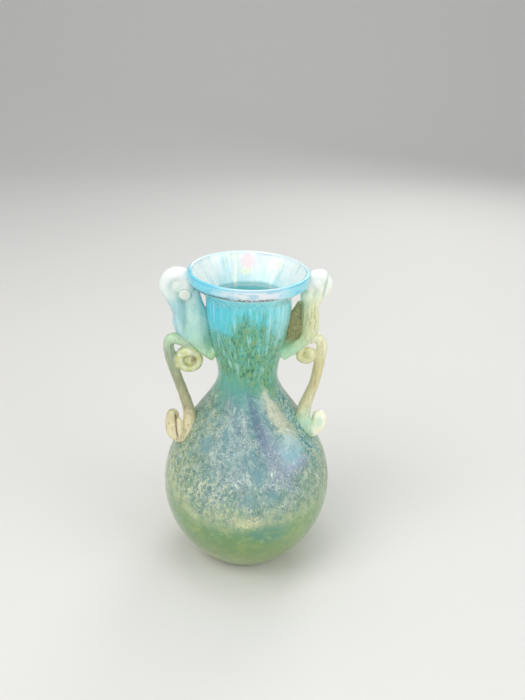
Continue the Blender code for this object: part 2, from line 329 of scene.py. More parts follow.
def turnedMesh(name, line, segments):
    verts, faces = [], []
    for out, up in line[1:-1]:
        for segment in range(segments):
            angle = math.tau * segment / segments
            verts.append((out * math.sin(angle), -out * math.cos(angle), up))
    rings = len(line) - 2
    for ring in range(rings - 1):
        for segment in range(segments):
            after = (segment + 1) % segments
            low, high = ring * segments, (ring + 1) * segments
            faces.append((low + segment, low + after, high + after, high + segment))
    for end, ring, order in ((line[0], 0, 1), (line[-1], rings - 1, -1)):
        verts.append((0, 0, end[1]))
        for segment in range(segments):
            pair = (ring * segments + segment, ring * segments + (segment + 1) % segments)
            faces.append((len(verts) - 1, *pair[:: -order]))
    mesh = bpy.data.meshes.new(name)
    mesh.from_pydata(verts, [], faces)
    mesh.validate()
    return mesh


def shapeVessel(mesh):  # hand-blown waves, ribs drawn down the neck, and the tilted rim
    v = vesselValues
    top = v["height"]
    tilt = math.tan(math.radians(v["rimTilt"]))
    for vertex in mesh.vertices:
        x, y, z = vertex.co
        out = math.hypot(x, y)
        if out < 1e-6:
            continue
        angle = math.atan2(x, -y)
        onSphere = Vector((math.sin(angle), -math.cos(angle), z / 0.03))
        grow = noise.noise(onSphere * 1.3 + Vector((4, 1, 7))) * v["wobble"] * easeStep(z, 0.004, 0.03)
        facing = Vector((math.sin(angle), math.cos(angle), 0)) * v["ribCount"]
        ribs = noise.noise(facing + Vector((0, 0, z / 0.05)))
        ribs += 0.5 * noise.noise(facing * 2 + Vector((0, 0, z / 0.03)))
        neckShare = easeStep(z, *v["ribFoot"]) * (1 - easeStep(z, *v["ribTop"]))
        grow += ribs * v["ribDepth"] * neckShare
        share = (out + grow) / out
        lean = -x * tilt * easeStep(z, top - v["tiltReach"], top)
        vertex.co = (x * share, y * share, z + lean)


def makeVessel():
    v = vesselValues
    shell = offsetLine(outerSteps, -v["wall"])
    bowlFoot = v["height"] - v["bowlDepth"]
    inside = [tuple(point) for point in shell if v["floorThickness"] + 0.0004 < point[1] < bowlFoot]
    floorOut = inside[0][0]
    bowlTop = (v["rimRadius"] - v["lipThickness"] - 0.0001, v["height"] - v["lipThickness"] / 2 - 0.0003)
    throat = inside[-1]
    for step in range(1, v["bowlSteps"] + 1):  # a straight funnel from the throat to the thin edge
        share = step / v["bowlSteps"]
        inside.append((between(throat[0], bowlTop[0], share**0.9), between(throat[1], bowlTop[1], share)))
    line = [(0, 0)]
    line += [(v["baseRadius"] * share, 0) for share in (0.3, 0.6, 0.85, 0.96)]
    line += [(v["baseRadius"] * 0.992, 0.00012)] + outerSteps[1:] + lipLine()
    outerCount = len(line)
    line += list(reversed(inside))
    line += [(floorOut * share, v["floorThickness"]) for share in (0.93, 0.75, 0.5, 0.25, 0)]
    mesh = turnedMesh("vessel_blown", line, v["segments"])
    shapeVessel(mesh)
    vessel = bpy.data.objects.new("vessel_blown", mesh)
    bpy.context.scene.collection.objects.link(vessel)
    mesh.materials.append(outerGlass())
    mesh.materials.append(innerGlass())
    innerStart = (outerCount - 4) * v["segments"]  # just inside the top of the lip
    for face in mesh.polygons:
        face.use_smooth = True
        if min(face.vertices) >= innerStart:
            face.material_index = 1
    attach(vessel, "root")
    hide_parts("vessel")
    return vessel


glassPlain = {
    "IOR": 1.5,
    "Subsurface Weight": 0.15,
    "Subsurface Radius": (0.9, 1.0, 0.95),
    "Subsurface Scale": 0.0015,
    "Coat Roughness": 0.12,
}


def outerGlass():
    skin = Finish("weatheredVesselGlass", glassPlain)
    x, y, z = skin.x, skin.y, skin.z
    turn = skin.angle()
    drift = skin.cloud(0.09, detail=2, shift=3)
    up = z + (drift - 0.5) * 9

    # the glass itself, from the green foot to the icy lip
    skin.ground = skin.ramp(
        up / (vesselValues["height"] * 1000),
        (0.0, (132, 150, 56)),
        (0.07, (122, 148, 68)),
        (0.16, (106, 144, 80)),
        (0.26, (108, 152, 100)),
        (0.35, (110, 154, 128)),
        (0.47, (100, 150, 150)),
        (0.58, (82, 152, 150)),
        (0.66, (92, 172, 150)),
        (0.74, (92, 186, 166)),
        (0.83, (84, 204, 204)),
        (0.92, (100, 220, 228)),
        (0.965, (150, 232, 244)),
    )

    # cooler and stronger to the left of the neck, paler to the right
    onNeck = skin.span(z, 101, 116)
    left = 1 - skin.span(x, -17, -4)
    right = skin.span(x, 2, 15)
    skin.lay((60, 208, 238), left * onNeck * 0.7)
    skin.lay((160, 226, 230), right * onNeck * 0.75)

    # light and dark streaks drawn down the neck
    drawn = skin.cloud(0.5, 0.045, detail=4, rough=0.6, shift=11)
    fine = skin.cloud(1.6, 0.14, detail=2, shift=31)
    streakZone = skin.zone(z, 100, 139, 4)
    skin.lay((204, 246, 246), skin.span(drawn, 0.52, 0.7) * streakZone * 0.75)
    skin.lay((44, 172, 196), skin.span(1 - drawn, 0.54, 0.72) * streakZone * 0.7)
    skin.lay((216, 246, 240), skin.span(fine, 0.6, 0.74) * streakZone * 0.45)

    # green and gold patina round the lower neck
    mottle = skin.cloud(0.3, 0.17, detail=6, rough=0.66, shift=17)
    grain = skin.cloud(0.95, 0.4, detail=5, rough=0.74, shift=5)
    raised = skin.zone(x, -7, 9, 4) * 9
    patinaZone = skin.span(z + x * 0.5, 83, 99) * (1 - skin.span(z - raised, 113, 134))
    frontness = 0.3 + 0.7 * skin.span(y * -1, -4, 8)
    patina = skin.span(mottle + patinaZone * 0.3 - 0.3, 0.3, 0.54) * patinaZone * frontness
    olive = skin.patch(turn, z, (-42, 112), (5, 11), ragged=1.4)
    gold = skin.patch(turn, z, (24, 112), (9, 15), ragged=1.8)
    patina = patina.most(olive * 0.9).most(gold * 0.6)
    patinaTint = skin.ramp(
        grain,
        (0.36, (40, 92, 66)),
        (0.43, (62, 126, 84)),
        (0.49, (96, 172, 132)),
        (0.55, (112, 168, 104)),
        (0.61, (142, 164, 92)),
        (0.68, (176, 150, 86)),
    )
    skin.lay(patinaTint, patina * (0.9 - skin.span(drawn, 0.5, 0.62) * 0.45))
    scatter = skin.cloud(0.85, 0.55, detail=5, rough=0.75, shift=7)
    specks = skin.span(scatter, 0.63, 0.68) * skin.zone(z - raised * 0.6, 92, 126, 7) * frontness
    speckTint = skin.ramp(
        skin.cloud(0.5, detail=2, shift=23),
        (0.4, (204, 238, 180)),
        (0.48, (208, 214, 116)),
        (0.56, (214, 144, 78)),
        (0.61, (152, 144, 208)),
    )
    skin.lay(speckTint, specks * 0.6)
    chinks = skin.span(1 - scatter, 0.58, 0.68) * skin.zone(z, 92, 124, 7) * frontness
    skin.lay((44, 92, 70), chinks * 0.5)

    # the weathered crust on the shoulder: fine pale squiggles on a frosted ground
    limit = 42 + skin.span(turn * -1, 44, 70) * 9 + (skin.cloud(0.1, shift=57) - 0.5) * 10
    crustZone = skin.span(z - limit, -9, 7) * (1 - skin.span(z, 82, 96))
    first = skin.cloud(0.33, 0.17, detail=2, rough=0.6, shift=2, bent=1.2) - 0.5
    first = first.reckon("ABSOLUTE", first)
    second = skin.cloud(0.6, 0.36, detail=2, rough=0.6, shift=9, bent=1.2) - 0.5
    second = second.reckon("ABSOLUTE", second)
    squiggles = (1 - skin.span(first, 0.008, 0.03)).most((1 - skin.span(second, 0.01, 0.035)) * 0.85)
    squiggles = squiggles * skin.span(skin.cloud(0.5, detail=4, rough=0.7, shift=64), 0.34, 0.5)
    thick = skin.span(skin.cloud(0.15, 0.11, detail=4, shift=71), 0.36, 0.62)
    windows = skin.patch(turn, z, (-39.8, 69.8), (4.6, 4.4), ragged=0.7)
    for centre, size in (
        ((9.5, 61), (3.6, 4.2)),
        ((18, 52.7), (3.4, 3)),
        ((1.3, 52), (3.6, 3.6)),
        ((118, 62), (4.5, 5)),
        ((-132, 58), (4, 5)),
        ((168, 66), (5, 4)),
    ):
        windows = windows.most(skin.patch(turn, z, centre, size, ragged=0.8))
    cool = skin.zone(turn, -34, 34, 16)
    haze = skin.blend((108, 146, 128), (122, 152, 162), cool)
    frosted = skin.span(skin.cloud(0.3, 0.22, detail=6, rough=0.7), 0.44, 0.62)
    haze = skin.blend(haze, (186, 206, 196), frosted)
    skin.lay(haze, crustZone * (0.4 + 0.45 * thick) * (1 - windows * 0.5))
    skin.lay((112, 154, 164), windows * crustZone * 0.5)
    hollows = (1 - squiggles) * skin.span(skin.cloud(0.6, 0.4, detail=4, rough=0.7, shift=44), 0.48, 0.62)
    skin.lay((66, 108, 112), hollows * crustZone * (1 - windows) * 0.5)
    crust = squiggles * crustZone * (0.45 + 0.55 * thick) * (1 - windows * 0.8)
    crustTint = skin.blend((222, 228, 182), (220, 232, 226), cool * skin.span(z, 44, 58))
    skin.lay(crustTint, crust * 0.95)

    # slate and lavender run down from the waist
    lavender = skin.patch(turn, z, (13, 80), (2.6, 15), ragged=1.1, slant=-0.28)
    skin.lay((88, 116, 142), lavender * (0.7 - 0.4 * squiggles))
    lilac = skin.patch(turn, z, (26, 66), (6, 14), ragged=1.2, slant=-0.3)
    skin.lay((134, 146, 176), lilac * (0.55 - 0.35 * squiggles))

    # cream streak and the iridescent pool beside it
    cream = skin.patch(turn, z, (43, 80), (4.6, 14), ragged=1, slant=-0.35)
    creamTint = skin.blend((210, 216, 172), (222, 218, 188), skin.span(z, 66, 86))
    skin.lay(creamTint, cream * (0.78 - hollows * 0.35))
    pool = skin.patch(turn, z, (45, 67), (8.8, 9), ragged=0.35)
    poolTint = skin.ramp(
        (z + skin.cloud(0.2, detail=2, shift=29) * 8 - 60) / 20,
        (0.05, (136, 142, 196)),
        (0.3, (158, 168, 206)),
        (0.5, (146, 200, 214)),
        (0.8, (176, 214, 222)),
    )
    skin.lay(poolTint, pool * 0.65)
    over = squiggles * crustZone * (cream.most(pool * 0.8).most(lilac * 0.7))
    skin.lay((226, 232, 222), over * 0.5)
    gloss = skin.cloud(0.9, 0.16, detail=2, shift=37)
    wet = skin.zone(turn, 58, 84, 5) * skin.zone(z, 58, 92, 4)
    streaks = skin.span(gloss, 0.48, 0.54) * wet
    # painted glints: pale lines along the edges of the dark teal streaks
    streakGlints = skin.zone(gloss, 0.45, 0.49, 0.02) * wet
    skin.lay((44, 142, 144), streaks * 0.9)
    skin.lay((220, 240, 232), streakGlints * 0.85)

    # cream and green flecks to the sides, and scratched veins below them
    flake = skin.span(skin.cloud(0.6, 0.3, detail=5, rough=0.72, shift=19), 0.5, 0.64)
    sides = (1 - skin.span(turn, -66, -30)).most(skin.span(turn, 44, 80))
    skin.lay((200, 212, 152), flake * sides * skin.zone(z, 42, 76, 6) * 0.85)
    veins = 1 - skin.span(skin.web(0.42, 0.15, bend=1.7, shift=3), 0.02, 0.1)
    broken = skin.span(skin.cloud(0.4, shift=90), 0.44, 0.56)
    veinZone = skin.zone(z, 42, 61, 5) * (1 - skin.span(turn, -16, 10))
    skin.lay((216, 222, 180), veins * broken * veinZone * 0.85)

    # the cream glow and orange flecks where the crust ends
    glow = skin.zone(z - limit, -4, 3, 4) * skin.span(skin.cloud(0.16, detail=4, shift=83), 0.36, 0.62)
    skin.lay((200, 210, 156), glow * 0.6)
    bright = skin.patch(turn, z, (0, 42), (9, 4), ragged=1.4)
    skin.lay((224, 222, 176), bright * (0.25 + squiggles * 0.6))
    rust = skin.span(skin.cloud(0.8, 1.4, rough=0.7, shift=61), 0.62, 0.68)
    skin.lay((206, 152, 100), rust * skin.zone(z - limit, -5, 2, 2) * 0.6)

    # soft clouds in the bare glass below
    below = 1 - skin.span(z - limit, -7, 1)
    tealCloud = skin.patch(turn, z, (16, 35), (12, 6), ragged=1.2)
    skin.lay((80, 142, 130), tealCloud * below * 0.6)
    soft = skin.span(skin.cloud(0.12, detail=5, rough=0.6, shift=47), 0.44, 0.66)
    skin.lay((148, 166, 88), soft * below * 0.55)
    dust = skin.span(skin.cloud(1.3, detail=4, rough=0.75, shift=33), 0.56, 0.7)
    skin.lay((70, 108, 78), dust * below * 0.5)
    patchy = skin.span(skin.cloud(0.3, shift=95), 0.46, 0.58)
    scratches = squiggles * skin.zone(z - limit, -14, -2, 4) * patchy
    skin.lay((190, 206, 150), scratches * 0.5)

    # the folded lip with dirt caught under its edge, and painted highlights and a painted reflection on its
    # band
    lip = skin.span(z, 139.2, 140.4)
    # the lip's own cyan, whitened towards the middle by a painted reflection
    lipTintAndReflection = skin.blend((120, 220, 240), (218, 234, 242), skin.span(x, -17, 0))
    lipTintAndReflection = skin.blend(lipTintAndReflection, (146, 226, 238), skin.span(x, 8, 20))
    # a painted highlight across the middle of the band
    sheen = skin.zone(x, -14, 12, 6) * skin.zone(z + x * 0.011, 141.4, 143.6, 0.8)
    lipTintAndReflection = skin.blend(lipTintAndReflection, (244, 238, 232), sheen * 0.5)
    bluish = skin.span(skin.cloud(0.14, 0.5, shift=67), 0.5, 0.66) * 0.5
    lipTintAndReflection = skin.blend(lipTintAndReflection, (92, 190, 220), bluish)
    skin.lay(lipTintAndReflection, lip)
    # a painted highlight: a pale line along the top of the rim, strongest on the far side
    edge = skin.span(z + x * 0.0157, 144.35, 144.6)
    skin.lay((236, 246, 244), edge * skin.span(y, -4, 8) * 0.8)
    rimLine = skin.zone(z + x * 0.0157, 144.2, 144.75, 0.2) * (1 - skin.span(y, -14, -4))
    skin.lay((96, 178, 210), rimLine * 0.6)
    foldHeight = z + x * 0.013
    present = skin.span(skin.cloud(0.16, 0.3, detail=2, shift=73), 0.3, 0.42) * (1 - skin.span(x, 7, 14))
    fold = skin.zone(foldHeight, 139.7, 141.1, 0.45) * present
    pits = skin.span(skin.cloud(1.3, 1.9, detail=4, rough=0.75, shift=73), 0.44, 0.52)
    skin.lay((62, 96, 88), fold * pits * 0.9)
    # a painted highlight: a pale line just below the folded band
    ledgeHighlight = skin.zone(foldHeight, 138.5, 139.5, 0.3)
    skin.lay((226, 244, 242), ledgeHighlight * 0.7)

    rough = 0.2 + crustZone * (0.22 + 0.2 * crust) + patina * 0.2 - pool * 0.12
    rough = rough + (skin.cloud(1.5, shift=4) - 0.5) * 0.12
    coat = 0.55 - crustZone * 0.35 + streaks * 0.4
    relief = crust * 0.9 + grain * patina * 0.7 + drawn * streakZone * 0.9
    relief = relief + skin.cloud(2.6, shift=6) * 0.15 - fold * pits * 0.8
    return skin.finished(rough, coat, relief, 0.00022)


def innerGlass():
    skin = Finish("icyInnerGlass", glassPlain)
    x, y, z = skin.x, skin.y, skin.z
    skin.ground = skin.ramp(
        z / (vesselValues["height"] * 1000),
        (0.2, (98, 150, 128)),
        (0.6, (86, 150, 150)),
        (0.8, (84, 176, 182)),
        (0.86, (104, 214, 222)),
        (0.905, (150, 222, 226)),
        (0.925, (200, 232, 234)),
        (0.95, (222, 238, 240)),
        (0.985, (236, 246, 246)),
    )
    # streaks that run down the bowl into the throat
    out = (x * x + y * y) ** 0.5
    facing = skin.node("ShaderNodeCombineXYZ", {}, {0: x / out * 5, 1: y / out * 5, 2: z * 0.05})
    sockets = {"Vector": facing, "Scale": 1.2, "Detail": 5, "Roughness": 0.65}
    across = skin.node("ShaderNodeTexNoise", {}, sockets)
    thin = skin.node("ShaderNodeTexNoise", {}, {"Vector": facing, "Scale": 3.4, "Detail": 3})
    bowl = skin.span(z, 129, 134)
    skin.lay((250, 252, 246), skin.span(across, 0.5, 0.66) * bowl * 0.8)
    skin.lay((170, 222, 226), skin.span(1 - across, 0.52, 0.68) * bowl * 0.75)
    skin.lay((246, 246, 212), skin.span(thin, 0.58, 0.7) * bowl * 0.6)
    # rose, lemon and lavender sheen on the far side, with one bright line beside it
    behind = skin.span(y, 2, 9)
    sway = skin.cloud(0.3, shift=14) * 3 - 1.5
    for centre, size, colour, strength in (
        ((-0.5, 141), (4, 4), (250, 218, 224), 0.65),
        ((-1.4, 137.4), (3, 1.8), (242, 246, 208), 0.5),
        ((7, 142), (4, 3.4), (214, 222, 244), 0.8),
        ((12, 141), (3.2, 3), (240, 242, 222), 0.6),
    ):
        far = skin.away(centre, size, sway)
        skin.lay(colour, (1 - skin.span(far, 0.5, 1.15)) * behind * strength)
    line = skin.zone(x, -6.3, -5.6, 0.3) * behind * bowl
    skin.lay((255, 252, 226), line * 0.9)
    ring = skin.zone(z + sway * 0.2, 131.2, 132.2, 0.5)
    skin.lay((236, 248, 246), ring * 0.6)
    rough = 0.2 + skin.cloud(1.2, shift=8) * 0.16
    relief = across * 0.8 + thin * 0.4 + skin.cloud(1.8, shift=2) * 0.2
    return skin.finished(rough, 0.3 + 0.3 * across, relief, 0.00025)


# Handles

meltValues = {
    "relaxSteps": 8,
    "lumpScale": 320,
    "skirtReach": 0.0018,  # a trail nearer to the wall than this has melted on to it
    "skirtDepth": 0.0006,
    "skirtTop": 0.1385,
}

strapValues = {
    "thickness": 0.0066,
    "offset": 0.0004,
    "slitWidth": 0.003,
    "ringShare": 1.5,  # the loop's thickness at most, in loop radii
    "loopFoot": 2.9,  # below the loop's centre, in loop radii
    "rolledShare": 0.78,
    "webSteps": 12,
    "webStart": 0.06,
    "webSunk": 0.0003,
    "grain": 0.00036,
    "lumps": 0.00016,
}

scrollValues = {
    "thickness": 0.0048,
    "forward": 0.001,
    "armLean": 0.004,
    "spiralForward": 0.0004,
    "middleShare": 0.62,
    "grain": 0.0003,
    "lumps": 0.00014,
}

# A run row is its share of the way out to full reach and of the way up to the loop, and its thickness.
# Swellings and the drum, the loop's rolled end, are out, up and radius in loop radii, and a width share.
# A spiral row is its angle, radius and thickness. Every later row counts in scroll thicknesses.
leftHandle = {
    "side": -1,
    "reach": 0.0298,
    "strapWidth": 0.0086,
    "webWidth": 0.0084,
    "webRise": 0.93,
    "loopRadius": 0.0046,
    "loopDrop": 0.0073,
    "curlRadius": 0.0044,
    "curlInset": 0.0038,
    "curlDrop": 0.0032,
    "drum": (-0.76, -0.76, 0.6, 1.02),
    "run": [
        (0, -0.03, 1), (0.2, 0.03, 0.9), (0.4, 0.16, 0.8), (0.62, 0.33, 0.8), (0.88, 0.53, 0.9),
        (1, 0.75, 1), (1, 1, 1),
    ],
    "swellings": [(-0.1, 0.05, 0.95, 0.75)],
    "spiral": [
        (247, 1, 0.68), (290, 1.02, 0.78), (330, 1, 0.86), (370, 1.02, 0.94), (410, 1.08, 1),
        (455, 0.9, 1), (500, 0.6, 0.84),
    ],
    "crest": [(-0.59, 0.92, 0.94), (0.22, 1.42, 1.08), (0.88, 1.38, 1.06), (1.13, 0.87, 1)],
    "arm": [
        (0.98, 1.08, 1.04), (0.78, 1.04, 1), (0.58, 0.9, 0.97), (0.35, 0.69, 1), (0.15, 0.52, 1.08),
        (0, 0.52, 1.2),
    ],
    "tail": [(0.71, -1.54, -1.13, 1.18), (1.29, -1.92, -1.83, 1.12)],
    "tip": [
        (0.95, -1.7, -1.45, 1), (1.35, -1.83, -1.9, 1.1), (1.98, -1.64, -1.6, 1.24),
        (2.2, -1.3, -0.85, 1.3), (2.14, -1.05, -0.1, 1.26), (2, -0.95, 0.62, 1.16),
    ],
    "lobe": [
        (1.3, -2, -1.7, 0.9), (1.4, -2, -1.1, 0.96), (1.42, -1.85, -0.55, 0.9), (1.5, -1.6, 0.1, 0.7),
    ],
}

rightHandle = {
    "side": 1,
    "reach": 0.0271,
    "strapWidth": 0.0068,
    "webWidth": 0.0032,
    "webRise": 0.74,
    "loopRadius": 0.0037,
    "loopDrop": 0.0061,
    "curlRadius": 0.0026,
    "curlInset": 0.0015,
    "curlDrop": 0.0002,
    "drum": None,
    "run": [
        (0, -0.03, 1), (0.14, 0.03, 1), (0.47, 0.165, 1.06), (0.82, 0.34, 1.12), (0.99, 0.5, 1.18),
        (1, 0.67, 1.24), (0.98, 0.85, 1.24), (0.97, 1, 1.15),
    ],
    "swellings": [(-0.2, 0.06, 1, 0.92), (-1.1, -1.68, 0.92, 0.96)],
    "spiral": [
        (247, 1, 0.68), (290, 1.02, 0.76), (330, 1.02, 0.86), (365, 1.08, 0.98), (410, 1.02, 0.98),
        (460, 0.8, 0.84),
    ],
    "crest": [(-0.61, 1.05, 0.86), (0.04, 1.6, 0.98), (0.72, 1.72, 1.04), (1.17, 1.06, 1.02)],
    "arm": [
        (1, 1.13, 1.06), (0.8, 1.12, 1.02), (0.58, 1.04, 0.98), (0.35, 0.73, 1.08), (0.16, 0.42, 1.26),
        (0, 0.4, 1.38),
    ],
    "tail": [(0.7, -1.06, -0.93, 1.36), (1.26, -1.26, -1.56, 1.2)],
    "tip": [
        (1, -1.2, -1.3, 1.15), (1.42, -1.1, -1.52, 1.12), (1.84, -0.93, -1.04, 1.4),
        (2, -0.72, -0.35, 1.46), (1.97, -0.5, 0.44, 1.34),
    ],
    "lobe": [],
}


def smoothPath(rows, steps=8):
    rows = np.array(rows)
    rows = np.vstack([2 * rows[0] - rows[1], rows, 2 * rows[-1] - rows[-2]])
    path = []
    for index in range(1, len(rows) - 2):
        before, start, end, after = rows[index - 1 : index + 3]
        for step in range(steps):
            share = step / steps
            slope = end - before
            bend = 2 * before - 5 * start + 4 * end - after
            twist = 3 * start - before - 3 * end + after
            path.append(start + (slope * share + bend * share**2 + twist * share**3) / 2)
    path.append(rows[-2])
    return path


def roundedEnd(path, length):
    last, before = path[-1], path[-2]
    step = last - before
    step = step / np.linalg.norm(step[:3])
    kept = [row for row in path if np.linalg.norm(row[:3] - last[:3]) > length]
    for angle in range(0, 90, 10):
        share = math.sin(math.radians(angle))
        row = last - step * length * (1 - share)
        row[3] = last[3] * math.cos(math.radians(angle))
        kept.append(row)
    return kept


def ringRows(centre, radii, angles, thicknesses, spacing=15):
    count = round(abs(angles[1] - angles[0]) / spacing) + 1
    rows = []
    for index in range(count):
        share = index / (count - 1)
        angle = math.radians(between(*angles, share))
        radius = between(*radii, share)
        out = centre[0] + radius * math.cos(angle)
        up = centre[2] + radius * math.sin(angle)
        rows.append((out, centre[1], up, between(*thicknesses, share)))
    return rows


def ballRows(centre, radius):
    rows = []
    for angle in range(-85, 90, 10):
        turn = math.radians(angle)
        up = centre[2] + radius * math.sin(turn)
        rows.append(np.array((centre[0], centre[1], up, 2 * radius * math.cos(turn))))
    return rows


def drumRows(loop, loopRadius, drum, reachAcross):  # a short rod across the strap, its ends rounded
    out, up, radius, width = drum
    ends = ((-1, 0.6), (-0.97, 0.82), (-0.92, 0.95), (-0.85, 1), (0.85, 1), (0.95, 0.9), (1, 0.6))
    rows = []
    for share, size in ends:
        across = reachAcross * width * share
        place = (loop[0] + loopRadius * out + across * 0.01, across, loop[2] + loopRadius * up)
        rows.append(np.array((*place, 2 * loopRadius * radius * size)))
    return rows


def strapPaths(hand):
    v, s = vesselValues, strapValues
    thick = s["thickness"]
    foot = v["height"] * v["footShare"]
    slitFoot = v["height"] * v["slitShare"]
    footOut = vesselOutline(foot)
    reach, loopRadius = hand["reach"], hand["loopRadius"]
    loop = (v["rimRadius"] + loopRadius, 0, v["height"] - hand["loopDrop"])
    loopFoot = loop[2] - loopRadius * s["loopFoot"]
    run = []
    for share, rise, size in hand["run"]:
        run.append((between(footOut, reach, share), 0, between(foot, loopFoot, rise), thick * size))
    run.append((between(reach, loop[0] + loopRadius, 0.3), 0, loop[2] - loopRadius * 1.8, thick))
    ringThick = min(thick, loopRadius * s["ringShare"])
    run += ringRows(loop, (loopRadius, loopRadius), (-20, 160), (ringThick, ringThick))
    end = (loop[0], -s["offset"], loop[2])
    rolledRadii = (loopRadius, loopRadius * s["rolledShare"])
    rolled = ringRows(end, rolledRadii, (137, 248), (ringThick * 0.88, ringThick * 0.94))
    webTop = between(foot, loop[2], hand["webRise"])
    web = []
    for step in range(s["webSteps"] + 1):
        share = step / s["webSteps"]
        up = between(between(foot, loopFoot, s["webStart"]), webTop, share)
        slit = max(0, (up - slitFoot) / (webTop - slitFoot)) * s["slitWidth"]
        inner = min(vesselOutline(up), v["neckRadius"]) + slit - s["webSunk"]
        outer = between(footOut, reach, min(1, 0.62 + share * 1.5)) - thick * 0.25
        web.append(((inner + outer) / 2, s["offset"] * 1.5, up, outer - inner))
    flat = hand["strapWidth"] / thick
    webFlat = hand["webWidth"] / (reach - v["neckRadius"] - thick * 0.3)
    paths = [
        (smoothPath(run), flat),
        (roundedEnd(smoothPath(rolled), thick / 2), flat),
        (smoothPath(web, 3), webFlat),
    ]
    for out, up, radius, width in hand["swellings"]:
        centre = (loop[0] + loopRadius * out, s["offset"] / 2, loop[2] + loopRadius * up)
        paths.append((ballRows(centre, loopRadius * radius), width * flat))
    if hand["drum"]:
        paths.append((drumRows(loop, loopRadius, hand["drum"], hand["strapWidth"] / 2), 1))
    return paths


def scrollPaths(hand):
    v, s = vesselValues, scrollValues
    thick = s["thickness"]
    foot = v["height"] * v["footShare"]
    tail = v["height"] * v["tailShare"]
    tailOut = vesselOutline(tail)
    middle = s["middleShare"]
    reach, radius = hand["reach"], hand["curlRadius"]
    curl = (reach - hand["curlInset"], -s["forward"], foot - hand["curlDrop"])
    rows = ringRows(curl, (radius, radius), (270, 165), (thick * 0.76, thick * 0.64))
    for out, up, size in hand["crest"]:
        rows.append((reach + out * thick, -s["forward"], foot + up * thick, thick * size))
    for share, out, size in hand["arm"]:
        across = -s["forward"] - s["armLean"] * (1 - share) ** 3
        up = between(tail, foot, share)
        rows.append((between(tailOut, reach, share) + out * thick, across, up, thick * size))
    start = np.array((tailOut, 0, tail, 0))
    rows += [start + np.array(row) * thick for row in hand["tail"]]
    spiral = []
    for angle, share, size in hand["spiral"]:
        turn = math.radians(angle)
        out = curl[0] + radius * share * math.cos(turn)
        up = curl[2] + radius * share * math.sin(turn)
        spiral.append((out, curl[1] - s["spiralForward"], up, thick * size))
    paths = [
        (roundedEnd(smoothPath(rows), thick / 2), 1),
        (roundedEnd(smoothPath(spiral), thick / 2), 1),
        (ballRows((curl[0], curl[1] + s["spiralForward"], curl[2]), radius * middle), middle),
    ]
    for part in ("tip", "lobe"):
        if hand[part]:
            tip = [start + np.array(row) * thick for row in hand[part]]
            paths.append((roundedEnd(smoothPath(tip), thick / 2), 1))
    return paths


def sweep(shape, path, width, side, sides=20):  # a closed tube along (out, across, up, thickness) rows
    points = np.array([row[:3] for row in path])
    along = np.gradient(points, axis=0)
    along /= np.linalg.norm(along, axis=1)[:, None]
    acrossAxis = np.array((0.0, 1.0, 0.0))
    rings = []
    for row, direction in zip(path, along):
        normal = np.cross(acrossAxis, direction)
        normal /= np.linalg.norm(normal)
        beside = np.cross(direction, normal) * width
        ring = []
        for index in range(sides):
            angle = math.tau * index / sides
            spot = row[:3] + (normal * math.cos(angle) + beside * math.sin(angle)) * row[3] / 2
            ring.append(shape.verts.new((spot[0] * side, spot[1], spot[2])))
        rings.append(ring)
    for low, high in zip(rings, rings[1:]):
        for index in range(sides):
            after = (index + 1) % sides
            shape.faces.new((low[index], low[after], high[after], high[index]))
    shape.faces.new(list(reversed(rings[0])))
    shape.faces.new(rings[-1])


def distanceToVessel(x, y, z):  # how far outside the vessel's skin a point is
    out = math.hypot(x, y)
    gaps = np.hypot(np.array(outerRadii) - out, np.array(outerHeights) - z)
    near = int(gaps.argmin())
    return math.copysign(float(gaps[near]), out - vesselOutline(z))


def fuseTubes(name, paths, side, grain, lumps):
    m = meltValues
    shape = bmesh.new()
    for path, width in paths:
        sweep(shape, path, width, side)
    bmesh.ops.recalc_face_normals(shape, faces=shape.faces)
    mesh = bpy.data.meshes.new(name)
    shape.to_mesh(mesh)
    shape.free()
    trail = bpy.data.objects.new(name, mesh)
    bpy.context.scene.collection.objects.link(trail)
    melt = trail.modifiers.new("melt", "REMESH")
    melt.mode = "VOXEL"
    melt.voxel_size = grain
    relax = trail.modifiers.new("relax", "SMOOTH")
    relax.factor = 0.5
    relax.iterations = m["relaxSteps"]
    ready = bpy.data.meshes.new_from_object(trail.evaluated_get(bpy.context.evaluated_depsgraph_get()))
    trail.modifiers.clear()
    trail.data = ready
    normals = [vertex.normal.copy() for vertex in ready.vertices]
    for vertex, normal in zip(ready.vertices, normals):
        spot = vertex.co
        gap = distanceToVessel(*spot)
        grow = noise.noise(spot * m["lumpScale"] + Vector((side * 3, 0, 0))) * lumps
        if gap < m["skirtReach"] and spot.z < m["skirtTop"]:
            grow += m["skirtDepth"] * (1 - max(gap, 0) / m["skirtReach"]) ** 2
        vertex.co = spot + normal * grow
    for face in ready.polygons:
        face.use_smooth = True
    return trail


trailPlain = {
    "IOR": 1.5,
    "Subsurface Weight": 0.35,
    "Subsurface Radius": (1.0, 1.0, 0.85),
    "Subsurface Scale": 0.004,
    "Coat Roughness": 0.08,
}


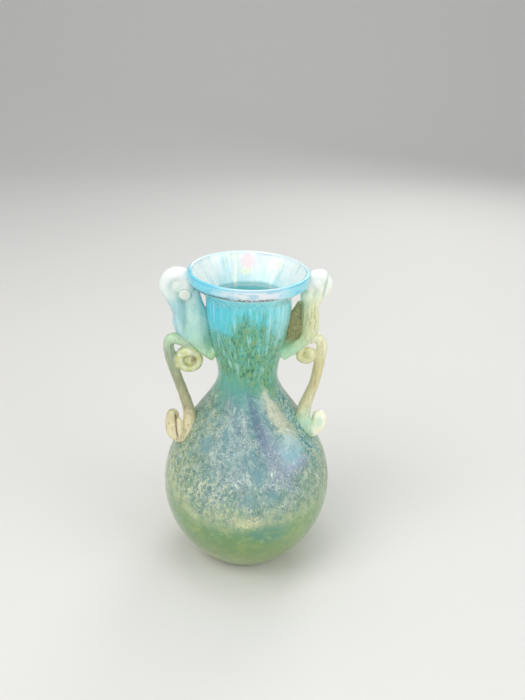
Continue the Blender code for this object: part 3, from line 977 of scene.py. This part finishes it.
def leftStrapGlass():
    skin = Finish("mintStrapGlass", trailPlain)
    x, y, z = skin.x, skin.y, skin.z
    skin.ground = skin.ramp(
        (z - 100 + (skin.cloud(0.2, detail=2) - 0.5) * 8) / 45,
        (0.0, (170, 212, 150)),
        (0.16, (178, 224, 190)),
        (0.4, (186, 228, 216)),
        (0.62, (196, 230, 224)),
        (0.78, (230, 244, 236)),
        (0.92, (242, 248, 244)),
    )
    rod = (1 - skin.span(x, -30, -26)) * skin.zone(z, 111, 131, 4)
    skin.lay((160, 206, 218), rod * 0.75)
    deep = skin.span(skin.cloud(0.25, 0.12, shift=12), 0.46, 0.66)
    skin.lay((150, 204, 200), deep * (1 - skin.span(z, 126, 133)) * 0.55)
    drawn = skin.cloud(0.8, 0.1, rough=0.6, shift=3)
    skin.lay((224, 246, 238), skin.span(drawn, 0.52, 0.68) * 0.5)
    grain = skin.cloud(1.8, detail=4, rough=0.7, shift=9)
    foot = (1 - skin.span(z, 105, 112)) * skin.span(x, -25, -17)
    footTint = skin.ramp(
        grain,
        (0.36, (84, 136, 72)),
        (0.47, (150, 200, 120)),
        (0.55, (214, 224, 124)),
        (0.64, (222, 176, 96)),
    )
    patchy = skin.span(skin.cloud(0.55, detail=5, rough=0.7, shift=4), 0.4, 0.6)
    skin.lay(footTint, foot * patchy * 0.9)
    dust = skin.span(skin.cloud(0.9, rough=0.7, shift=8), 0.63, 0.68) * skin.zone(z, 106, 131, 3)
    skin.lay((120, 150, 130), dust * 0.5)
    # the rolled end, seen end on
    front = 1 - skin.span(y, -2.6, -1.6)
    far = skin.away((-27.1, 134.2))
    skin.lay((240, 236, 216), (1 - skin.span(far, 1.6, 2.3)) * front * 0.6)
    skin.lay((150, 176, 160), skin.zone(far, 2.5, 2.9, 0.2) * front * 0.6)
    rough = 0.16 + grain * 0.18 + foot * 0.12
    return skin.finished(rough, 0.6 - foot * 0.3, drawn * 0.7 + grain * 0.25, 0.00022)


def rightStrapGlass():
    skin = Finish("creamStrapGlass", trailPlain)
    x, y, z = skin.x, skin.y, skin.z
    skin.ground = skin.ramp(
        (z - 100 + (skin.cloud(0.2, detail=2, shift=6) - 0.5) * 6) / 45,
        (0.0, (192, 232, 196)),
        (0.2, (184, 228, 188)),
        (0.36, (222, 228, 178)),
        (0.62, (232, 232, 186)),
        (0.74, (238, 244, 216)),
        (0.9, (244, 248, 240)),
    )
    drawn = skin.cloud(1.2, 0.1, detail=4, rough=0.65, shift=3)
    run = skin.zone(z, 112, 130, 3)
    skin.lay((160, 150, 116), skin.span(drawn, 0.5, 0.64) * run * 0.7)
    skin.lay((238, 238, 200), skin.span(1 - drawn, 0.54, 0.66) * run * 0.6)
    grain = skin.cloud(1.9, 1.4, detail=4, rough=0.7, shift=9)
    recess = skin.span(y, -3, -2.4)
    web = (1 - skin.span(x, 22.6, 24.4)) * skin.zone(z, 112, 131, 2.5) * recess
    webTint = skin.ramp(
        grain,
        (0.36, (84, 80, 48)),
        (0.47, (138, 134, 84)),
        (0.57, (176, 178, 112)),
        (0.67, (186, 140, 96)),
    )
    skin.lay(webTint, web * 0.9)
    # painted shade: a grey-green line down the crease of the loop
    shadedCrease = skin.zone(x - (z - 136) * 0.18, 31.6, 32.6, 0.5) * skin.zone(z, 134, 144, 2)
    skin.lay((170, 192, 182), shadedCrease * 0.7)
    rough = 0.18 + grain * 0.18 + web * 0.15
    relief = drawn * 0.9 + grain * (0.2 + 0.3 * web)
    return skin.finished(rough, 0.6 - web * 0.4, relief, 0.00026)


def leftScrollGlass():
    skin = Finish("oliveScrollGlass", trailPlain)
    x, y, z = skin.x, skin.y, skin.z
    skin.ground = skin.ramp(
        (z - 62 + (skin.cloud(0.2, detail=2, shift=5) - 0.5) * 6) / 55,
        (0.0, (240, 228, 184)),
        (0.22, (226, 214, 172)),
        (0.36, (172, 168, 128)),
        (0.6, (160, 164, 130)),
        (0.8, (158, 178, 152)),
        (0.92, (186, 216, 180)),
    )
    drawn = skin.cloud(0.9, 0.13, detail=4, rough=0.6, shift=13)
    skin.lay((122, 120, 92), skin.span(drawn, 0.52, 0.68) * 0.55)
    skin.lay((206, 206, 168), skin.span(1 - drawn, 0.54, 0.68) * 0.5)
    curlCentre = (-26, 102.3)
    curl = skin.disc(curlCentre, 7)
    milky = skin.span(skin.cloud(0.4, detail=4), 0.42, 0.6)
    curlTint = skin.blend((212, 216, 150), (238, 238, 208), milky)
    skin.lay(curlTint, curl * 0.9)
    far = skin.away(curlCentre)
    skin.lay((168, 164, 96), skin.zone(far, 2.2, 3.2, 0.5) * 0.6)
    pit = skin.disc((-24.4, 102.6), 1.3)
    skin.lay((126, 110, 58), pit * 0.6)
    grain = skin.cloud(1.4, detail=5, rough=0.72, shift=19)
    hook = 1 - skin.span(z, 73, 79)
    # painted shade: brown speckles standing for shade in the hook's crevices
    skin.lay((128, 100, 60), hook * skin.span(grain, 0.54, 0.66) * 0.45)
    skin.lay((244, 234, 204), hook * skin.span(1 - grain, 0.52, 0.64) * 0.65)
    # painted shade: a dark brown line along the hook's crevice, also sunk into the bump
    shadedCrevice = skin.zone(x + (z - 72) * 0.12, -32.5, -31.7, 0.35) * skin.zone(z, 68, 77.5, 1)
    skin.lay((84, 58, 30), shadedCrevice * 0.85)
    relief = drawn * 0.6 + grain * 0.4 - shadedCrevice
    return skin.finished(0.22 + grain * 0.2, 0.45 + curl * 0.3, relief, 0.00024)


def rightScrollGlass():
    skin = Finish("khakiScrollGlass", trailPlain)
    x, y, z = skin.x, skin.y, skin.z
    skin.ground = skin.ramp(
        (z - 62 + (skin.cloud(0.2, detail=2, shift=15) - 0.5) * 6) / 55,
        (0.0, (206, 226, 192)),
        (0.12, (178, 214, 182)),
        (0.24, (184, 220, 192)),
        (0.36, (212, 208, 164)),
        (0.7, (214, 204, 152)),
        (0.9, (236, 236, 196)),
    )
    drawn = skin.cloud(0.9, 0.13, detail=4, rough=0.6, shift=23)
    skin.lay((172, 156, 112), skin.span(drawn, 0.52, 0.66) * 0.55)
    edgeLight = skin.span(skin.cloud(0.7, 0.1, shift=51), 0.56, 0.66)
    skin.lay((228, 224, 184), edgeLight * 0.6)
    grain = skin.cloud(1.6, detail=4, rough=0.7, shift=29)
    ashy = skin.span(grain, 0.54, 0.64) * skin.zone(z, 78, 92, 3)
    skin.lay((168, 150, 150), ashy * 0.6)
    far = skin.away((33.2, 73.8), (2, 3.4))
    knob = skin.span(x, 29.5, 31.5) * (1 - skin.span(z, 78.5, 80.5))
    skin.lay((246, 244, 216), knob * 0.95)
    skin.lay((186, 222, 202), (1 - skin.span(far, 0.5, 1)) * knob * 0.55)
    curl = skin.disc((25.6, 105.3), 4)
    skin.lay((226, 226, 170), curl * 0.5)
    relief = drawn * 0.6 + grain * 0.35
    return skin.finished(0.2 + grain * 0.2, 0.5 + knob * 0.3, relief, 0.00024)


def makeHandle(name, hand, strapFinish, scrollFinish):
    side = hand["side"]
    grain, lumps = strapValues["grain"], strapValues["lumps"]
    strap = fuseTubes(f"{name}_strap_trail", strapPaths(hand), side, grain, lumps)
    strap.data.materials.append(strapFinish())
    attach(strap, "root")
    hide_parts(f"{name}_handle_strap")
    grain, lumps = scrollValues["grain"], scrollValues["lumps"]
    scroll = fuseTubes(f"{name}_scroll_trail", scrollPaths(hand), side, grain, lumps)
    scroll.data.materials.append(scrollFinish())
    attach(scroll, "root")
    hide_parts(f"{name}_handle_scroll")
    print(name, "handle:", len(strap.data.polygons), "and", len(scroll.data.polygons), "faces")


# Studio

cameraValues = {
    "place": (0, -0.2820, 0.2434),
    "pitch": 25.83,  # degrees down
    "yaw": 1.317,
    "roll": 1.32,
    "lens": 36,  # mm, as is the sensor
    "sensor": 36,
    "reach": (0.01, 10),
}

studioValues = {
    "floor": tint(226, 224, 220),
    "sky": tint(236, 240, 244),
    "skyStrength": 0.55,
    "floorReach": 3,
    "bendStart": 0.9,
    "bendRadius": 0.7,
    "aim": (0, 0, 0.07),
    "lamps": (  # name, power, size, place and colour
        ("key", 3.0, 0.5, (-0.45, -0.35, 0.75), (1, 0.99, 0.97)),
        ("fill", 2.3, 0.6, (0.7, -0.4, 0.4), (0.96, 0.98, 1)),
        ("top", 1.6, 0.5, (0, 0.1, 0.9), (1, 1, 1)),
        ("front", 1.0, 0.5, (-0.1, -0.8, 0.45), (1, 1, 1)),
        ("rim", 1.4, 0.4, (0.3, 0.7, 0.5), (1, 1, 1)),
    ),
}


def placeCamera():
    c = cameraValues
    pitch, yaw, roll = (math.radians(c[name]) for name in ("pitch", "yaw", "roll"))
    ahead = Vector((math.sin(yaw) * math.cos(pitch), math.cos(yaw) * math.cos(pitch), -math.sin(pitch)))
    level = Vector((math.cos(yaw), -math.sin(yaw), 0))
    over = level.cross(ahead)
    right = level * math.cos(roll) + over * math.sin(roll)
    top = over * math.cos(roll) - level * math.sin(roll)
    lens = bpy.data.cameras.new("camera")
    lens.lens = c["lens"]
    lens.sensor_width = c["sensor"]
    lens.clip_start, lens.clip_end = c["reach"]
    camera = bpy.data.objects.new("camera", lens)
    bpy.context.scene.collection.objects.link(camera)
    turn = Matrix((right, top, -ahead)).transposed()
    camera.matrix_world = Matrix.Translation(c["place"]) @ turn.to_4x4()
    bpy.context.scene.camera = camera


def placeLight(name, power, size, spot, colour):
    lamp = bpy.data.lights.new(name, "AREA")
    lamp.energy = power
    lamp.size = size
    lamp.color = colour
    light = bpy.data.objects.new(name, lamp)
    light.location = spot
    aim = Vector(studioValues["aim"]) - Vector(spot)
    light.rotation_mode = "QUATERNION"
    light.rotation_quaternion = aim.to_track_quat("-Z", "Y")
    bpy.context.scene.collection.objects.link(light)


def makeStudio():
    s = studioValues
    size, start, radius = s["floorReach"], s["bendStart"], s["bendRadius"]
    shape = bmesh.new()
    line = [(-size, 0), (start, 0)]
    for step in range(1, 9):  # the floor bends up behind the vase
        angle = math.radians(90 * step / 8)
        line.append((start + radius * math.sin(angle), radius - radius * math.cos(angle)))
    line.append((start + radius, size))
    left, right = ([shape.verts.new((across, *spot)) for spot in line] for across in (-size, size))
    for index in range(len(line) - 1):
        shape.faces.new((left[index], right[index], right[index + 1], left[index + 1]))
    mesh = bpy.data.meshes.new("floor")
    shape.to_mesh(mesh)
    shape.free()
    for face in mesh.polygons:
        face.use_smooth = True
    floor = bpy.data.objects.new("floor", mesh)
    bpy.context.scene.collection.objects.link(floor)
    paper = Finish("floorPaper", {"Roughness": 0.7, "Base Color": s["floor"]})
    paper.bump(paper.cloud(0.4), 0.00004)
    mesh.materials.append(paper.material)
    for lamp in s["lamps"]:
        placeLight(*lamp)
    world = bpy.data.worlds.new("sky")
    bpy.context.scene.world = world
    world.use_nodes = True
    backdrop = world.node_tree.nodes["Background"]
    backdrop.inputs["Color"].default_value = s["sky"]
    backdrop.inputs["Strength"].default_value = s["skyStrength"]
    bpy.context.scene.view_settings.view_transform = "Standard"


placeCamera()
print("camera placed")
vesselPiece = makeVessel()
print("vessel:", len(vesselPiece.data.polygons), "faces")
makeHandle("left", leftHandle, leftStrapGlass, leftScrollGlass)
makeHandle("right", rightHandle, rightStrapGlass, rightScrollGlass)
makeStudio()
print("studio lit")
